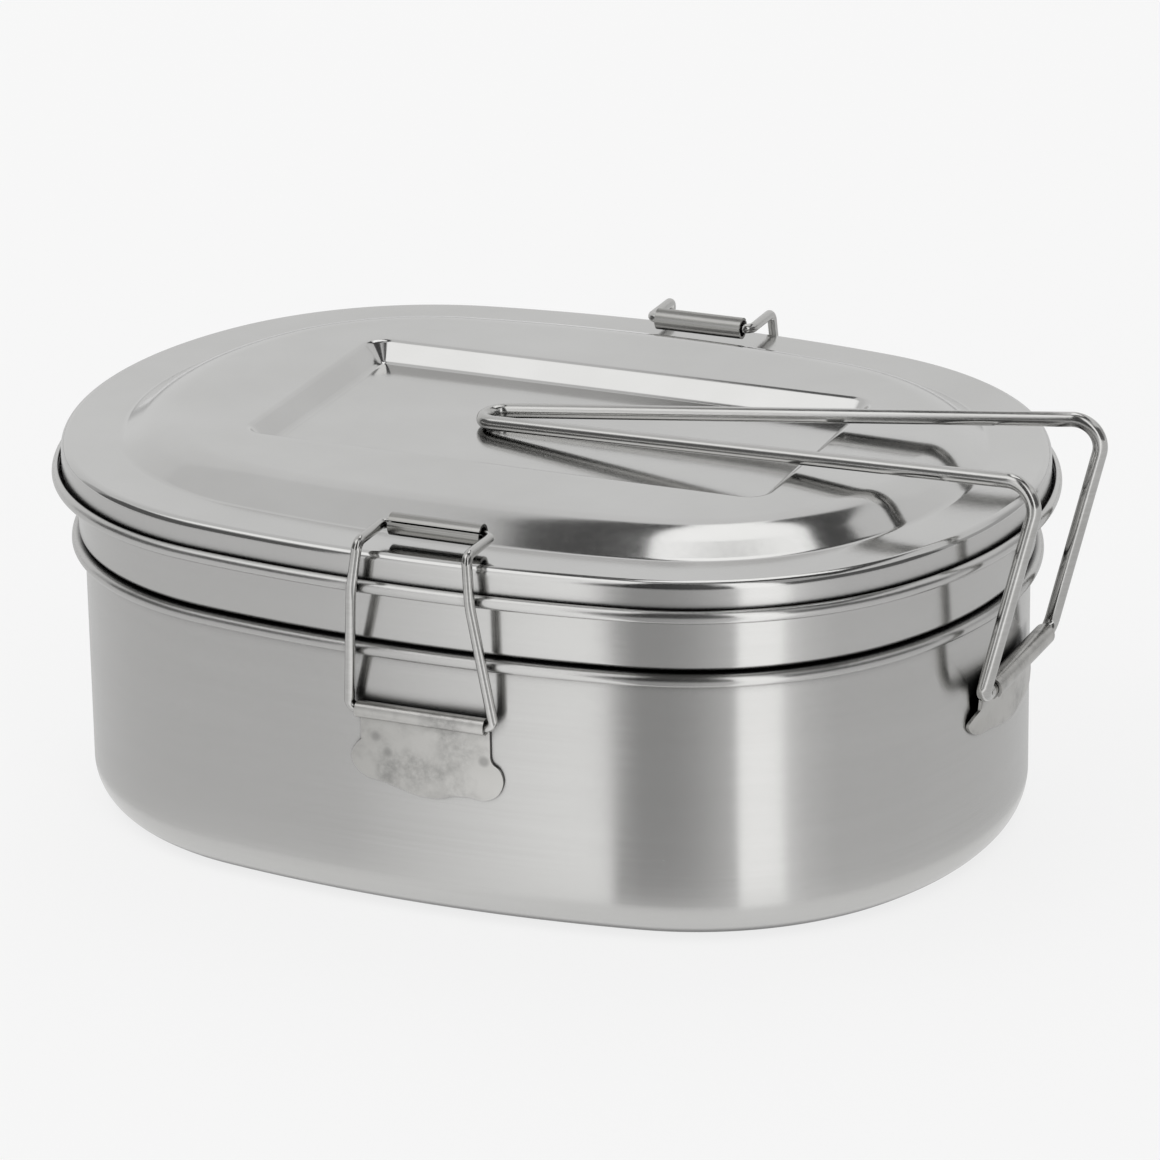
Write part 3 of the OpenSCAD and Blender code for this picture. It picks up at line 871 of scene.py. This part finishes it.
def card(name, corners, strengths, lights=True):
    """Four-cornered card; the strengths run from its first corner to the second."""
    n = 24
    c = [Vector(p) for p in corners]
    verts = []
    for i in range(n + 1):
        verts += [c[0].lerp(c[1], i / n), c[3].lerp(c[2], i / n)]
    faces = [(2 * i, 2 * i + 2, 2 * i + 3, 2 * i + 1) for i in range(n)]
    uvs = [((i // 2) / n, i % 2) for i in range(len(verts))]
    mat, across = glow(name, "across")
    curve = mat.new("ShaderNodeFloatCurve")
    line = curve.mapping.curves[0]
    top = max(v for _, v in strengths)
    pts = [(x, v / top) for x, v in strengths]
    line.points[0].location, line.points[1].location = pts[0], pts[-1]
    for x, v in pts[1:-1]:
        line.points.new(x, v)
    for q in line.points:
        q.handle_type = "VECTOR"
    curve.mapping.update()
    mat.link(across, curve.inputs["Value"])
    mat.link(mat.maths("MULTIPLY", curve.outputs[0], top), mat.shader.inputs["Strength"])
    add_card(name, new_mesh(name, verts, faces, "across", uvs), mat.mat, lights and top > 0.3)


def panel(name, az0, az1, el0, el1, dist, strengths):
    """Card between two directions at a distance from the origin, its strengths from az0 to az1."""
    corners = (az0, el0), (az1, el0), (az1, el1), (az0, el1)
    card(name, [towards(az, el, dist) for az, el in corners], strengths)


floor_mesh = bpy.data.meshes.new("floor")
floor_mesh.from_pydata([(-6, -6, 0), (6, -6, 0), (6, 6, 0), (-6, 6, 0)], [], [(0, 1, 2, 3)])
floor = add_object("floor", floor_mesh)
fl = Nodes("floor_mat")
fl.shader.inputs["Base Color"].default_value = (0.93, 0.93, 0.93, 1)
fl.shader.inputs["Roughness"].default_value = 0.9
fl.shader.inputs["Specular IOR Level"].default_value = 0.1
seen = fl.new("ShaderNodeEmission")
seen.inputs["Strength"].default_value = 1.0
path = fl.new("ShaderNodeLightPath")
rays = fl.maths("MAXIMUM", path.outputs["Is Camera Ray"], path.outputs["Is Glossy Ray"])
rays = fl.maths("MAXIMUM", rays, path.outputs["Is Transmission Ray"])
mixed = fl.new("ShaderNodeMixShader")
fl.link(fl.maths("MULTIPLY", rays, 0.8), mixed.inputs[0])
fl.link(fl.shader.outputs[0], mixed.inputs[1])
fl.link(seen.outputs[0], mixed.inputs[2])
fl.link(mixed.outputs[0], fl.out.inputs[0])
floor_mesh.materials.append(fl.mat)

world = bpy.data.worlds.new("studio")
bpy.context.scene.world = world
world.use_nodes = True
wt = world.node_tree
wt.nodes.clear()
wo = wt.nodes.new("ShaderNodeOutputWorld")
bg = wt.nodes.new("ShaderNodeBackground")
bg.inputs["Color"].default_value = (1, 1, 1, 1)
bg.inputs["Strength"].default_value = 0.45
wt.links.new(bg.outputs[0], wo.inputs[0])

FLAG, STRIP = [(0, 0.07), (1, 0.07)], [(0, 1.35), (1, 1.35)]
CEILING_Z, FLAG_Z, STRIP_Z = 1.53, 1.5, 1.45


def ceiling(name, corners, z, strengths, lights=True):
    card(name, [(x, y, z) for x, y in corners], strengths, lights)


# Pale sweep and ceiling behind, boxes in front and overhead, and black flags between them
panel("back_sweep", 55, 168, 4, 31, 1.7, [(0, 0.45), (0.12, 0.64), (0.25, 0.78), (0.7, 0.78), (1, 0.72)])
ceiling("ceiling", [(2.5, -0.3), (-3, -0.3), (-3, 2.6), (2.5, 2.6)], CEILING_Z, [(0, 0.76), (1, 0.7)], False)
ceiling("ceiling_flag", [(1.4, -0.2), (-0.45, -0.2), (-0.86, 2.45), (-0.74, 2.45)], FLAG_Z, FLAG)
ceiling("ceiling_strip", [(-0.25, 0.0), (0.46, 0.5), (-0.27, 1.24), (-0.45, 1.06)], STRIP_Z, STRIP)
ceiling("ceiling_strip_end", [(-0.45, 1.06), (-0.27, 1.24), (-0.60, 1.92), (-0.71, 1.82)], STRIP_Z, STRIP)
panel("top_box", -172, -100, 38, 74, 1.5, [(0, 1.0), (0.3, 1.27), (1, 1.27)])
panel("left_box", -119, -95, -1, 66, 1.6, [(0, 0.7), (0.4, 0.9), (1, 1.2)])
panel("right_box", -55, -38, -1, 66, 1.6, [(0, 1.4), (1, 1.4)])
panel("front_flag", -94.5, -60, -2, 74, 1.52, [(0, 0.03), (1, 0.1)])
for k in range(4):
    panel("low_flag_%d" % k, -180 + 50 * k, -130 + 50 * k, 2, 34, 2.1, [(0, 0.12), (1, 0.12)])


def table_bands(bands, near, far):
    """Card lying on the table in front of the box: each wall azimuth of bands sees its own strength."""
    verts, strengths = [], []
    for x, y, nx, ny in sorted(oval_frames(300), key=lambda f: math.atan2(f[3], f[2])):
        az = math.degrees(math.atan2(ny, nx))
        if bands[0][0] <= az <= bands[-1][0]:
            (a0, s0), (a1, s1) = next((p, q) for p, q in zip(bands, bands[1:]) if p[0] <= az <= q[0])
            strengths.append(s0 + (s1 - s0) * (az - a0) / (a1 - a0))
            out = towards(2 * az - VIEW_AZ, 0, 1)
            wall = Vector((x * MM, y * MM, 1.5 * MM))
            verts += [wall + out * near, wall + out * far]
    faces = [(2 * i, 2 * i + 1, 2 * i + 3, 2 * i + 2) for i in range(len(strengths) - 1)]
    uvs = [(strengths[i // 2] / 2, 0) for i in range(len(verts))]
    mat, half = glow("table_bands", "glow")
    mat.link(mat.maths("MULTIPLY", half, 2.0), mat.shader.inputs["Strength"])
    add_card("table_bands", new_mesh("table_bands", verts, faces, "glow", uvs), mat.mat, False)


table_bands([
    (-160, 0.68), (-93, 0.7), (-89.6, 0.84), (-86, 1.0), (-82, 1.19), (-81.6, 1.16), (-81.1, 0.48),
    (-79, 0.42), (-73, 0.44), (-69, 0.5), (-64.5, 0.62), (-61, 0.7), (-59.8, 1.33), (-52.4, 1.33),
    (-50.4, 0.95), (-47, 0.78), (-41, 0.67), (25, 0.65),
], 0.012, 1.4)

# ---------------------------------------------------------------- camera
AZ, EL, ROLL = math.radians(23.48), math.radians(20.735), math.radians(-0.88)
TARGET, DISTANCE = Vector((0.005, -0.00021, 0.0425)), 1.1434
FOCAL_PX, FRAME_PX = 6081.4, 1160
SENSOR_MM = 36
back = Vector((math.sin(AZ) * math.cos(EL), -math.cos(AZ) * math.cos(EL), math.sin(EL)))
right = Vector((math.cos(AZ), math.sin(AZ), 0))
up = back.cross(right)
right_r = right * math.cos(ROLL) + up * math.sin(ROLL)
up_r = -right * math.sin(ROLL) + up * math.cos(ROLL)
cam_data = bpy.data.cameras.new("camera")
cam = add_object("camera", cam_data)
rot = Matrix((right_r, up_r, back)).transposed().to_4x4()
cam.matrix_world = Matrix.Translation(TARGET + back * DISTANCE) @ rot
cam_data.sensor_width = SENSOR_MM
cam_data.sensor_fit = "HORIZONTAL"
cam_data.lens = FOCAL_PX / FRAME_PX * SENSOR_MM
cam_data.clip_start = 0.01
bpy.context.scene.camera = cam
bpy.context.scene.view_settings.view_transform = "Standard"
